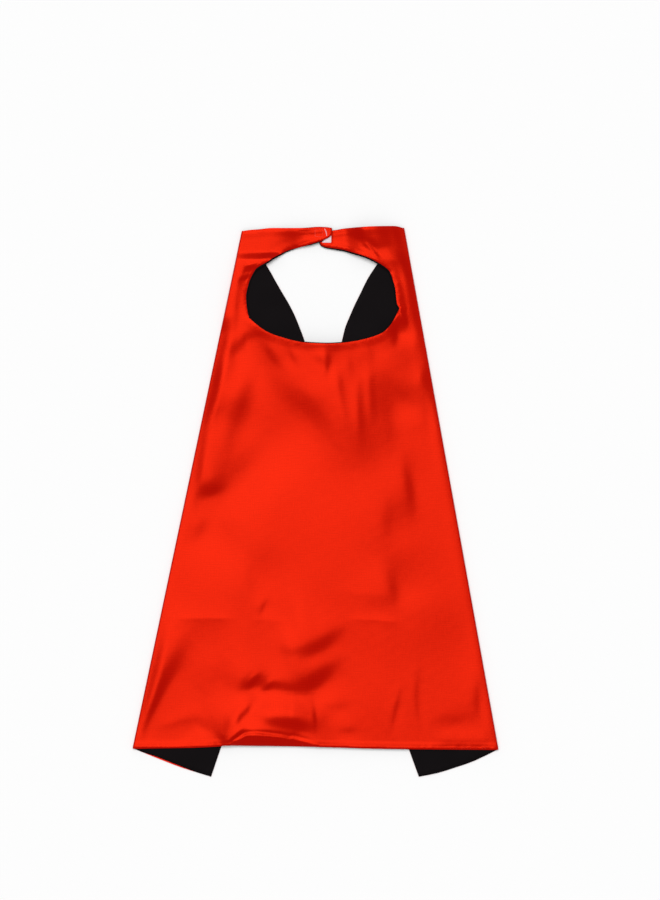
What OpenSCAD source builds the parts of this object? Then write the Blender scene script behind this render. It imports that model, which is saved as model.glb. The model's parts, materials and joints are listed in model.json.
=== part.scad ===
// Child's dress-up cape in satin, laid flat on a table.
// A red outer shell and a black lining are sewn together round the edge and turned.
// Both front edges are folded behind the back panel. The two neck tabs overlap and
// close with a hook-and-loop patch. All lengths in millimetres.
// X runs across the cape, Y from hem to neck, Z up off the table.
// Origin: bottom centre of the folded cape.

/* [Cloth] */
// Thickness of one ply of satin
ply = 0.4; // [0.2:0.05:0.5]
// How far the lining peeps past the outer shell along the neckline
neck_peep = 1.2; // [0:0.1:2]
// Distance of the edge seam from the edge
seam_inset = 1.5; // [1:0.1:4]
// Width of the edge seam's thread
seam_w = 0.8; // [0.4:0.1:1]

/* [Folds] */
// Height of the two fold axes above the table
fold_z = 2.0; // [1.6:0.1:3]
// Half the play at each bend line
bend_play = 0.15; // [0.15:0.05:0.5]

/* [Neckline] */
// Width of the neck opening
neck_w = 205; // [195:1:212]
// Height of the neck opening
neck_h = 131; // [125:1:135]

/* [Closure] */
// Where the upper tab bends open
tab_bend_x = -21; // [-30:1:-18]
// Thickness of the hook patch and of the loop patch
tape_t = 0.8; // [0.6:0.1:0.8]
// Clearance between the two patches
tape_gap = 0.5; // [0.3:0.1:0.8]
// Length of the hook patch along the tab
hook_l = 18; // [14:1:18]
// Width of the hook patch
hook_w = 11.5; // [9:0.5:11.5]
// Length of the loop patch along the tab
loop_l = 12.5; // [10:0.5:12.5]
// Width of the loop patch
loop_w = 13; // [10:0.5:13]

/* [Stitching] */
// Length of one stitch
stitch_l = 2.2; // [1.6:0.1:2.4]
// Width of one stitch
stitch_w = 0.5; // [0.3:0.05:0.6]
// How far a stitch stands off the cloth
stitch_h = 0.2; // [0.1:0.05:0.2]
// Number of stitches that close the turning gap in the hem
gap_stitches = 24; // [12:1:26]

/* [Hidden] */

red = [0.86, 0.07, 0.03];
black = [0.03, 0.03, 0.035];
white = [0.93, 0.92, 0.92];
thread = [0.70, 0.05, 0.03];

// Heights. A folded-under wing lies from 0 to 2 plies; turned out, it comes level with the back panel.
wing_mid = ply;
back_low = 2 * fold_z - 2 * ply;
back_mid = 2 * fold_z - ply;
back_top = 2 * fold_z;
loop_top = back_top + tape_t;
hook_low = loop_top + tape_gap;
tab_low = hook_low + tape_t;
tab_top = tab_low + 2 * ply;
groove = ply / 2;

// Fold lines of the two wings, shoulder end then hem end
fold_l = [[-97, 362.5], [-243.5, -331.5]];
fold_r = [[117, 366.5], [243.5, -333]];

// Neckline from the upper tab's bend round to the lower tab's tip, for an opening 205 wide and 131 high
neck_left = [[-21, 340.5], [-35.5, 337], [-47.5, 331.5], [-57, 326.5], [-65, 321], [-78.5, 313], [-84, 305], [-88, 297],
             [-90.5, 289], [-93, 277], [-92.5, 264.5], [-91, 254], [-89, 246]];
neck_bottom = [[-89, 246], [-73, 232.5], [-58.5, 224.5], [-33, 216.5], [-14, 213], [15.5, 211.5], [39.5, 213], [63.5, 217],
               [86.5, 224.5], [97, 232.5], [105.5, 244.5], [112.5, 259]];
neck_right = [[112.5, 259], [109, 266], [107.5, 280.5], [106, 289], [101, 305], [96, 312], [82.5, 321], [66.5, 328.5],
              [47.5, 334.5], [37, 337.5], [23.5, 339.5], [13.5, 341], [8, 343]];
lower_tip = [[8, 343], [5.5, 347], [4.5, 353], [5.5, 357], [7.5, 360], [11, 361.5], [15.5, 362.5]];
right_top = [[15.5, 362.5], [27.5, 364], [39.5, 366], [57, 367.5], [73, 368.5], [90, 369], [108, 369], [117, 366.5]];
left_top = [[-97, 362.5], [-88, 364], [-74.5, 365], [-61, 366.5], [-41, 366.5], [-21, 366.5]];
hem = [[-243.5, -331.5], [-222, -331], [-161.5, -330], [-126.5, -328], [-114.5, -327], [-12.5, -328.5], [65, -331], [125.5, -332], [243.5, -333]];

// The upper tab beyond its bend: top edge, tip, then back along its neck edge
tab_top_edge = [[-21, 366.5], [-10, 367], [0, 368], [8.5, 368], [17, 367.5], [22, 366.5]];
tab_neck_edge = [[22, 366.5], [22.3, 361.5], [21.5, 357.5], [19, 354.5], [15, 352.3], [10, 350], [3.5, 348], [-7.5, 344.5], [-21, 340.5]];

// Front edge of each wing, from the shoulder down to its hem corner, then its own hem back to the fold
edge_l = [[-97, 362.5], [-66.5, 318], [-54.5, 297], [-45, 280.5], [-35.5, 264.5], [-27.5, 248.5], [-21, 232.5], [-14, 213.5],
          [-7, 188], [-3, 160], [-3, 120], [-12, 58], [-31, -21], [-58, -119], [-94, -234], [-126.5, -329], [-140, -369]];
hem_wing_l = [[-140, -369], [-168, -360.5], [-192.5, -352], [-243.5, -331.5]];
edge_r = [[117, 366.5], [82.5, 318], [69, 297], [61, 280.5], [53, 264.5], [46, 248.5], [39.5, 232.5], [35, 213.5],
          [27, 188], [22, 160], [19, 120], [23, 58], [36, -21], [58, -119], [91, -234], [125.5, -333], [138.5, -369]];
hem_wing_r = [[138.5, -369], [164, -364], [189.5, -356], [213.5, -347.5], [243.5, -333]];

// --- outlines ---
function rev(p) = [for (i = [len(p) - 1:-1:0]) p[i]];
function rest(p) = [for (i = [1:len(p) - 1]) p[i]];
function unit(v) = v / norm(v);
function left_of(v) = [-v[1], v[0]];
function spline(a, b, c, d, t) = 0.5 * (2 * b + (c - a) * t + (2 * a - 5 * b + 4 * c - d) * t * t + (3 * b - a - 3 * c + d) * t * t * t);
// Smooth curve through the points
function curve(p, n = 3) = let (m = len(p)) concat(
    [for (i = [0:m - 2]) for (k = [0:n - 1]) spline(p[max(i - 1, 0)], p[i], p[i + 1], p[min(i + 2, m - 1)], k / n)], [p[m - 1]]);
function heading(p, i) = unit(p[min(i + 1, len(p) - 1)] - p[max(i - 1, 0)]);
// The same curve moved d to its left
function beside(p, d) = [for (i = [0:len(p) - 1]) p[i] + d * left_of(heading(p, i))];
// The same, fading in and out over the first and last points
function beside_faded(p, d, f = 8) = let (m = len(p) - 1)
    [for (i = [0:m]) p[i] + d * min(1, i / f, (m - i) / f) * left_of(heading(p, i))];
function size_neck(p) = [for (q = p) [8.5 + (q[0] - 8.5) * neck_w / 205, q[1] < 330 ? 330 - (330 - q[1]) * neck_h / 131 : q[1]]];
// A fold line moved sideways, so that wing and panel clear each other, and run on past both ends
function aside(f, d) = let (u = unit(f[1] - f[0])) [f[0] + d * left_of(u) - 40 * u, f[1] + d * left_of(u) + 40 * u];

neckline = concat(curve(size_neck(neck_left)), rest(curve(size_neck(neck_bottom))), rest(curve(size_neck(neck_right))));
tip_line = concat(rest(curve(lower_tip)), rest(curve(right_top)));
top_line = curve(left_top);
hem_line = curve(hem, 2);
front_l = curve(edge_l, 2);
front_r = curve(edge_r, 2);
tail_l = curve(hem_wing_l, 2);
tail_r = curve(hem_wing_r, 2);
tab_top_line = curve(tab_top_edge, 2);
tab_neck_line = curve(tab_neck_edge, 2);

// Back panel: neckline, lower tab, right fold, hem, left fold, left shoulder
module back_plan(peep = 0)
    difference() {
        polygon(concat(beside_faded(neckline, peep), tip_line, rev(hem_line), top_line));
        translate([tab_bend_x - bend_play, 337]) square([bend_play + 0.01, 40]);
        polygon(concat(aside(fold_l, bend_play), [[-320, -380], [-320, 410]]));
        polygon(concat(aside(fold_r, -bend_play), [[320, -380], [320, 410]]));
    }

module wing_plan(front, tail, fold, side)
    difference() {
        polygon(concat(front, rest(tail)));
        polygon(concat(aside(fold, side * bend_play), [[side * -320, -380], [side * -320, 410]]));
    }

module tab_plan()
    difference() {
        polygon(concat(tab_top_line, rest(tab_neck_line)));
        translate([tab_bend_x - 0.1, 337]) square([bend_play + 0.1, 40]);
    }

// A line of thread, seam_inset inside an edge; side is 1 with the cloth to the left
module seam_plan(path, side)
    polygon(concat(beside(path, side * seam_inset), rev(beside(path, side * (seam_inset + seam_w)))));

module tab_seams() {
    seam_plan(tab_top_line, -1);
    seam_plan(tab_neck_line, -1);
}

module back_seams() {
    seam_plan(concat(neckline, tip_line), -1);
    seam_plan(hem_line, 1);
    seam_plan(top_line, -1);
}

module slab(z0, z1) translate([0, 0, z0]) linear_extrude(z1 - z0) children();

// Side view of the upper tab: it leaves the shoulder level and climbs over the lower tab
module tab_side(low, high)
    translate([0, 400, 0]) rotate([90, 0, 0]) linear_extrude(80)
        polygon([[tab_bend_x - 1, back_low + low], [tab_bend_x + 2, back_low + low], [-4, tab_low + low], [30, tab_low + low],
                 [30, tab_low + high], [-4, tab_low + high], [tab_bend_x + 2, back_low + high], [tab_bend_x - 1, back_low + high]]);

// A row of equal stitches from a to b
module stitch_row(a, b, n)
    for (i = [0:n - 1])
        translate(a + (b - a) * (i + 0.5) / n) rotate(atan2(b[1] - a[1], b[0] - a[0]))
            square([stitch_l, stitch_w], center = true);

module stitch_box(x0, y0, x1, y1) {
    nx = floor((x1 - x0) / (stitch_l + 0.8));
    ny = floor((y1 - y0) / (stitch_l + 0.8));
    stitch_row([x0, y0], [x1, y0], nx);
    stitch_row([x0, y1], [x1, y1], nx);
    stitch_row([x0, y0], [x0, y1], ny);
    stitch_row([x1, y0], [x1, y1], ny);
}

// --- back panel ---
module outer_back_panel() color(red) slab(back_mid, back_top) back_plan();

module lining_back_panel() color(black) difference() {
    slab(back_low, back_mid) back_plan(neck_peep);
    slab(back_mid - groove, back_mid + 1) back_seams();
}

module back_edge_seam() color(thread) slab(back_mid - groove, back_mid) intersection() {
    back_seams();
    back_plan();
}

module turning_gap_stitching() color(thread) slab(back_top, back_top + stitch_h)
    stitch_row([134, -329], [230, -329.8], gap_stitches);

// --- left wing ---
module outer_left_wing() color(red) slab(0, wing_mid) wing_plan(front_l, tail_l, fold_l, 1);

module lining_left_wing() color(black) difference() {
    slab(wing_mid, 2 * ply) wing_plan(front_l, tail_l, fold_l, 1);
    slab(wing_mid - 1, wing_mid + groove) left_wing_seams();
}

module left_wing_seams() { seam_plan(front_l, -1); seam_plan(tail_l, -1); }

module left_wing_edge_seam() color(thread) slab(wing_mid, wing_mid + groove) intersection() {
    left_wing_seams();
    wing_plan(front_l, tail_l, fold_l, 1);
}

// --- right wing ---
module outer_right_wing() color(red) slab(0, wing_mid) wing_plan(front_r, tail_r, fold_r, -1);

module lining_right_wing() color(black) difference() {
    slab(wing_mid, 2 * ply) wing_plan(front_r, tail_r, fold_r, -1);
    slab(wing_mid - 1, wing_mid + groove) right_wing_seams();
}

module right_wing_seams() { seam_plan(front_r, 1); seam_plan(tail_r, 1); }

module right_wing_edge_seam() color(thread) slab(wing_mid, wing_mid + groove) intersection() {
    right_wing_seams();
    wing_plan(front_r, tail_r, fold_r, -1);
}

// --- upper neck tab, which peels open ---
module outer_neck_tab() color(red) intersection() {
    slab(0, 20) tab_plan();
    tab_side(ply, 2 * ply);
}

module lining_neck_tab() color(black) difference() {
    intersection() { slab(0, 20) tab_plan(); tab_side(0, ply); }
    intersection() { slab(0, 20) tab_seams(); tab_side(ply - groove, ply + 1); }
}

module neck_tab_edge_seam() color(thread) intersection() {
    slab(0, 20) tab_seams();
    slab(0, 20) tab_plan();
    tab_side(ply - groove, ply);
}

module hook_patch() color(white) slab(hook_low, tab_low)
    difference() {
        translate([-2.5, 365.5 - hook_w]) square([hook_l, hook_w]);
        polygon([[12, 350], [20, 350], [20, 356.5]]);
    }

module hook_patch_stitching() color(thread) slab(tab_top, tab_top + stitch_h) stitch_box(-0.5, 355, 9.5, 364.5);

module tab_end_tack() color(white) slab(tab_top, tab_top + stitch_h) {
    arc = curve([[11.8, 365.3], [13.2, 363.6], [14.2, 361], [14.8, 358.5], [15, 356]]);
    polygon(concat(beside(arc, 0.9), rev(beside(arc, -0.9))));
}

// --- loop patch, on the lower tab ---
module loop_patch() color(white) difference() {
    slab(back_top, loop_top) translate([8.7, 346.7]) square([loop_l, loop_w]);
    slab(loop_top - stitch_h, loop_top + 1) loop_stitches();
}

module loop_stitches() stitch_box(9.9, 347.9, 7.5 + loop_l, 345.5 + loop_w);

module loop_patch_stitching() color(white) slab(loop_top - stitch_h, loop_top) loop_stitches();

outer_back_panel();
lining_back_panel();
back_edge_seam();
turning_gap_stitching();
outer_left_wing();
lining_left_wing();
left_wing_edge_seam();
outer_right_wing();
lining_right_wing();
right_wing_edge_seam();
outer_neck_tab();
lining_neck_tab();
neck_tab_edge_seam();
hook_patch();
hook_patch_stitching();
tab_end_tack();
loop_patch();
loop_patch_stitching();
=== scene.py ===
import json
import math

import bpy
import numpy as np
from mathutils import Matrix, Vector, geometry


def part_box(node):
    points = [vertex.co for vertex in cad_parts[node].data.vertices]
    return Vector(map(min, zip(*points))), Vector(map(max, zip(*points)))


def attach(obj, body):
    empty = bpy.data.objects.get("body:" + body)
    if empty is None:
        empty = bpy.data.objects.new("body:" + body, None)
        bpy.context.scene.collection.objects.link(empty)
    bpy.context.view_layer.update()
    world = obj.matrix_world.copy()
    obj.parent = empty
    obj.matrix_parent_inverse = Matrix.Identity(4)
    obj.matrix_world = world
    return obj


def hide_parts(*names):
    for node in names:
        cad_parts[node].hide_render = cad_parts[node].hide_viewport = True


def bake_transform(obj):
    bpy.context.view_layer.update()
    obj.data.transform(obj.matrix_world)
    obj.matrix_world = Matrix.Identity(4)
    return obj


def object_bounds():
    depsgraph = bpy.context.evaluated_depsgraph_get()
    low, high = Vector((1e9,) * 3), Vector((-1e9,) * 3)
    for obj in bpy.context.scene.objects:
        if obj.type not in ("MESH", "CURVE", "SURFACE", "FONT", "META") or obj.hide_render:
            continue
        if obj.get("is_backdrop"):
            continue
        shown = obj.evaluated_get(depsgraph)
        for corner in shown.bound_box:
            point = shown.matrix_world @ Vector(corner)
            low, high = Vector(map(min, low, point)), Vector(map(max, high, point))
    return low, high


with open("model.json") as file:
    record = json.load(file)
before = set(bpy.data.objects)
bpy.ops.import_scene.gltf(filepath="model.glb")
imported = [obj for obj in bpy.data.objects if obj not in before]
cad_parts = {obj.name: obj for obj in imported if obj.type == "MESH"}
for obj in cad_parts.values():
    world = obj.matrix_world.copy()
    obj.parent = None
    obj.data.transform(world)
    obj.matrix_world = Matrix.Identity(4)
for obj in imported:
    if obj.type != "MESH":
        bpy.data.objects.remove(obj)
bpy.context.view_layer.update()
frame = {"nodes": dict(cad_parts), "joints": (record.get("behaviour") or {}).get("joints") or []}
NODES = frame["nodes"]
JOINT = {j["name"]: j for j in frame["joints"]}
rng = np.random.default_rng(7)

# ---------------------------------------------------------------- heights, in mm above the fold axis
AXIS_Z = JOINT["left_wing_fold"]["pos_m"][2] * 1000
MID = 1.55          # middle of the two plies, above the fold axis
PLY = 0.36
COARSE, FINE = 3.0, 1.5


def unit(v):
    return v / np.linalg.norm(v)


def smooth(t):
    t = np.clip(t, 0, 1)
    return t * t * (3 - 2 * t)


# ---------------------------------------------------------------- outlines from the CAD nodes
def outline(node, up):
    """The plan of a CAD node in mm: the loop round its upward or downward faces."""
    me = NODES[node].data
    me.calc_loop_triangles()
    co = np.array([v.co for v in me.vertices]) * 1000
    tri = np.array([t.vertices for t in me.loop_triangles])
    key = {}
    ids = np.array([key.setdefault(tuple(np.round(p, 2)), len(key)) for p in co])
    pts = np.zeros((len(key), 3))
    for i, p in zip(ids, co):
        pts[i] = p
    tri = ids[tri]
    n = np.cross(pts[tri[:, 1]] - pts[tri[:, 0]], pts[tri[:, 2]] - pts[tri[:, 0]])
    area = np.linalg.norm(n, axis=1)
    tri, n = tri[area > 1e-9], n[area > 1e-9]
    n = n / np.linalg.norm(n, axis=1)[:, None]
    tri = tri[n[:, 2] * (1 if up else -1) > 0.5]
    count = {}
    for t in tri:
        for a, b in ((t[0], t[1]), (t[1], t[2]), (t[2], t[0])):
            count[(a, b)] = count.get((a, b), 0) + 1
    after = {a: b for (a, b) in count if (b, a) not in count}
    best = []
    left = set(after)
    while left:
        a = min(left)
        loop = []
        while a in left:
            left.discard(a)
            loop.append(a)
            a = after[a]
        if len(loop) > len(best):
            best = loop
    p = pts[best][:, :2]
    if not up:
        p = p[::-1]
    keep = [i for i in range(len(p)) if np.linalg.norm(p[i] - p[i - 1]) > 0.02]
    return p[keep]


def snap(loop, line, ends, tol=0.5):
    """Splits a closed loop at its edge along a line, with that edge's two corners moved to ends. Returns the loop from the edge's far corner round to its near one."""
    a, b = line
    d = unit(b - a)
    off = np.abs((loop - a) @ np.array([-d[1], d[0]]))
    n = len(loop)
    best, at = 0, None
    for i in range(n):
        j = (i + 1) % n
        if off[i] < tol and off[j] < tol:
            length = np.linalg.norm(loop[j] - loop[i])
            if length > best:
                best, at = length, i
    loop = np.roll(loop, -(at + 1), axis=0)   # the loop now starts at the edge's end and finishes at its start
    loop = loop.copy()
    first, last = loop[0], loop[-1]
    e0, e1 = ends if ends is not None else (first.copy(), last.copy())
    if np.linalg.norm(first - e0) + np.linalg.norm(last - e1) > np.linalg.norm(first - e1) + np.linalg.norm(last - e0):
        e0, e1 = e1, e0
    loop[0], loop[-1] = e0, e1
    return loop


def resample(path, h, corner=22):
    """An open path with points about h apart, keeping its corners."""
    path = np.asarray(path, float)
    keep = [0]
    for i in range(1, len(path) - 1):
        u, v = unit(path[i] - path[i - 1]), unit(path[i + 1] - path[i])
        if math.degrees(math.acos(np.clip(u @ v, -1, 1))) > corner:
            keep.append(i)
    keep.append(len(path) - 1)
    out = []
    for a, b in zip(keep[:-1], keep[1:]):
        seg = path[a:b + 1]
        s = np.concatenate([[0], np.cumsum(np.linalg.norm(np.diff(seg, axis=0), axis=1))])
        n = max(1, int(round(s[-1] / h)))
        t = np.linspace(0, s[-1], n + 1)[:-1]
        out.append(np.stack([np.interp(t, s, seg[:, 0]), np.interp(t, s, seg[:, 1])], 1))
    out.append(path[-1:])
    return np.concatenate(out)


def inside(pts, loop):
    x, y = pts[:, 0], pts[:, 1]
    res = np.zeros(len(pts), bool)
    px, py = loop[:, 0], loop[:, 1]
    qx, qy = np.roll(px, -1), np.roll(py, -1)
    for ax, ay, bx, by in zip(px, py, qx, qy):
        if ay == by:
            continue
        c = (ay > y) != (by > y)
        res ^= c & (x < (bx - ax) * (y - ay) / (by - ay) + ax)
    return res


def distance(pts, path, closed=False):
    """Distance from each point to a path."""
    a = path if closed else path[:-1]
    b = np.roll(path, -1, axis=0) if closed else path[1:]
    best = np.full(len(pts), 1e9)
    for s in range(0, len(pts), 20000):
        p = pts[s:s + 20000]
        out = np.full(len(p), 1e9)
        for i in range(0, len(a), 64):
            A, B = a[i:i + 64], b[i:i + 64]
            d = B - A
            L = np.maximum((d * d).sum(1), 1e-12)
            t = np.clip(((p[:, None] - A) * d).sum(2) / L, 0, 1)
            r = np.linalg.norm(p[:, None] - (A + t[..., None] * d), axis=2).min(1)
            out = np.minimum(out, r)
        best[s:s + 20000] = out
    return best


def hexgrid(lo, hi, h):
    ys = np.arange(lo[1], hi[1], h * 0.866)
    rows = []
    for k, y in enumerate(ys):
        xs = np.arange(lo[0] + (h / 2 if k % 2 else 0), hi[0], h)
        rows.append(np.stack([xs, np.full(len(xs), y)], 1))
    return np.concatenate(rows)


def triangulate(loop, h, fine_boxes=()):
    """Points and triangles that fill a loop: its own points first, then a grid."""
    lo, hi = loop.min(0), loop.max(0)
    grid = hexgrid(lo, hi, h)
    if len(fine_boxes):
        near = np.zeros(len(grid), bool)
        extra = []
        taken = np.zeros(0)
        g2 = hexgrid(lo, hi, FINE)
        in2 = np.zeros(len(g2), bool)
        for (x0, y0, x1, y1) in fine_boxes:
            near |= (grid[:, 0] > x0 - 1) & (grid[:, 0] < x1 + 1) & (grid[:, 1] > y0 - 1) & (grid[:, 1] < y1 + 1)
            in2 |= (g2[:, 0] > x0) & (g2[:, 0] < x1) & (g2[:, 1] > y0) & (g2[:, 1] < y1)
        grid = np.concatenate([grid[~near], g2[in2]])
    grid = grid + rng.uniform(-0.06, 0.06, grid.shape) * h
    grid = grid[inside(grid, loop)]
    d = distance(grid, loop, closed=True)
    grid = grid[d > 0.55 * min(h, 2.2)]
    pts = np.concatenate([loop, grid])
    n = len(loop)
    verts, _, faces, orig, _, _ = geometry.delaunay_2d_cdt(
        [Vector(p) for p in pts], [(i, (i + 1) % n) for i in range(n)], [list(range(n))], 1, 1e-5)
    v = np.array([list(p) for p in verts])
    f = np.array([list(t) for t in faces if len(t) == 3])
    a = v[f[:, 1]] - v[f[:, 0]]
    b = v[f[:, 2]] - v[f[:, 0]]
    area = a[:, 0] * b[:, 1] - a[:, 1] * b[:, 0]
    f[area < 0] = f[area < 0][:, ::-1]
    return v, f[np.abs(area) > 1e-7]


def joint_line(name):
    j = JOINT[name]
    p = np.array(j["pos_m"][:2]) * 1000
    d = np.array(j["axis"][:2])
    return p, p + unit(d) * 100


FOLD = {"left": joint_line("left_wing_fold"), "right": joint_line("right_wing_fold")}
BEND_X = JOINT["neck_tab_peel"]["pos_m"][0] * 1000

out_back = outline("outer_back_panel", True)
lin_back = outline("lining_back_panel", False)
out_wing = {"left": outline("outer_left_wing", False), "right": outline("outer_right_wing", False)}
lin_wing = {"left": outline("lining_left_wing", True), "right": outline("lining_right_wing", True)}
out_tab = outline("outer_neck_tab", True)
lin_tab = outline("lining_neck_tab", False)


# ---------------------------------------------------------------- shape of the lying cloth
# The wrinkles are drawn on a sheet whose squares are 1.34 mm, with its origin at the upper left.
UNIT = 1.34


def G(u, v):
    return np.array([(u - 315.5) * UNIT, (501.5 - v) * UNIT])


def along(pts, path):
    """Signed distance to a path (above 0 on its right hand), and the share of its length, for each point."""
    path = np.asarray(path, float)
    seg = np.linalg.norm(np.diff(path, axis=0), axis=1)
    total, run = seg.sum(), 0.0
    best = np.full(len(pts), 1e9)
    signed, share = np.zeros(len(pts)), np.zeros(len(pts))
    for a, b, length in zip(path[:-1], path[1:], seg):
        d = (b - a) / length
        r = pts - a
        t = np.clip(r @ d, 0, length)
        off = r - t[:, None] * d
        dist = np.linalg.norm(off, axis=1)
        side = r[:, 0] * d[1] - r[:, 1] * d[0]
        near = dist < best
        best[near] = dist[near]
        signed[near] = (np.sign(side) * dist)[near]
        share[near] = ((run + t) / total)[near]
        run += length
    return signed, share, best


def softened(path, n=2):
    p = np.asarray(path, float)
    for _ in range(n):
        if len(p) < 3:
            break
        q = [p[0]]
        for a, b in zip(p[:-1], p[1:]):
            q += [a * 0.75 + b * 0.25, a * 0.25 + b * 0.75]
        q.append(p[-1])
        p = np.array(q)
    return p


def near_box(pts, path, reach):
    lo, hi = path.min(0) - reach, path.max(0) + reach
    return np.where(((pts > lo) & (pts < hi)).all(1))[0]


def strokes(units, step):
    """Places along a drawn line, each with its direction and how far along it lies."""
    path = softened([G(*u) for u in units])
    seg = np.concatenate([[0], np.cumsum(np.linalg.norm(np.diff(path, axis=0), axis=1))])
    n = max(2, int(round(seg[-1] / step)))
    s = (np.arange(n) + 0.5) / n * seg[-1]
    at = np.stack([np.interp(s, seg, path[:, k]) for k in (0, 1)], 1)
    ahead = np.stack([np.interp(s + step / 2, seg, path[:, k]) for k in (0, 1)], 1)
    behind = np.stack([np.interp(s - step / 2, seg, path[:, k]) for k in (0, 1)], 1)
    d = ahead - behind
    return at, d / np.linalg.norm(d, axis=1)[:, None], s / seg[-1], seg[-1] / n


def drop(h, pts, units, width, fall, near=0.5, far=0.5, reach=4.0):
    """The cloth falls by about `fall` from the left of a drawn line to its right, across `width`, and recovers gently further out."""
    at, d, t, step = strokes(units, max(width * 0.9, 3.0))
    env = smooth(t / max(near, 1e-3)) * smooth((1 - t) / max(far, 1e-3))
    far_off = width * reach * 2.3
    for c, u, e in zip(at, d, env):
        k = np.flatnonzero((np.abs(pts[:, 0] - c[0]) < far_off) & (np.abs(pts[:, 1] - c[1]) < far_off))
        r = pts[k] - c
        s, q = r @ u, (r[:, 1] * u[0] - r[:, 0] * u[1]) * -1
        h[k] += fall / 2 * e * np.tanh(-1.25 * q / width) * np.exp(-(q / (width * reach)) ** 2 - (s / (1.1 * step)) ** 2) / 1.95


def ridge(h, pts, units, width, height, near=0.4, far=0.4):
    at, d, t, step = strokes(units, max(width * 0.9, 2.0))
    env = smooth(t / near) * smooth((1 - t) / far)
    for c, u, e in zip(at, d, env):
        k = np.flatnonzero((np.abs(pts[:, 0] - c[0]) < width * 4) & (np.abs(pts[:, 1] - c[1]) < width * 4))
        r = pts[k] - c
        s, q = r @ u, r[:, 1] * u[0] - r[:, 0] * u[1]
        h[k] += height * e * np.exp(-(q / width) ** 2 - (s / (1.1 * step)) ** 2) / 1.95


def crease(h, pts, units, width, height, near=0.3, far=0.3):
    """A pressed line left by packing: the cloth makes a shallow roof with a sharp top."""
    at, d, t, step = strokes(units, width * 0.45)
    env = smooth(t / near) * smooth((1 - t) / far)
    for c, u, e in zip(at, d, env):
        k = np.flatnonzero((np.abs(pts[:, 0] - c[0]) < width * 5) & (np.abs(pts[:, 1] - c[1]) < width * 5))
        r = pts[k] - c
        s, q = r @ u, r[:, 1] * u[0] - r[:, 0] * u[1]
        h[k] += height * e * np.exp(-np.sqrt(q * q + 0.5) / width - (s / (1.1 * step)) ** 2) / 1.95


def blob(h, pts, at_unit, rx, ry, height, turn=0.0):
    c = G(*at_unit)
    d = pts - c
    a = math.radians(turn)
    x = d[:, 0] * math.cos(a) + d[:, 1] * math.sin(a)
    y = -d[:, 0] * math.sin(a) + d[:, 1] * math.cos(a)
    h += height * np.exp(-(x / rx) ** 2 - (y / ry) ** 2)


def waves(pts, size, seed):
    """Smooth random undulation of the given size, about -1 to 1."""
    r = np.random.default_rng(seed)
    out = np.zeros(len(pts))
    for _ in range(14):
        k = r.uniform(0.6, 1.5) * 2 * np.pi / size
        a = r.uniform(0, np.pi)
        out += np.sin(k * (pts[:, 0] * math.cos(a) + pts[:, 1] * math.sin(a)) + r.uniform(0, 6.28))
    return out / 5.3


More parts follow.
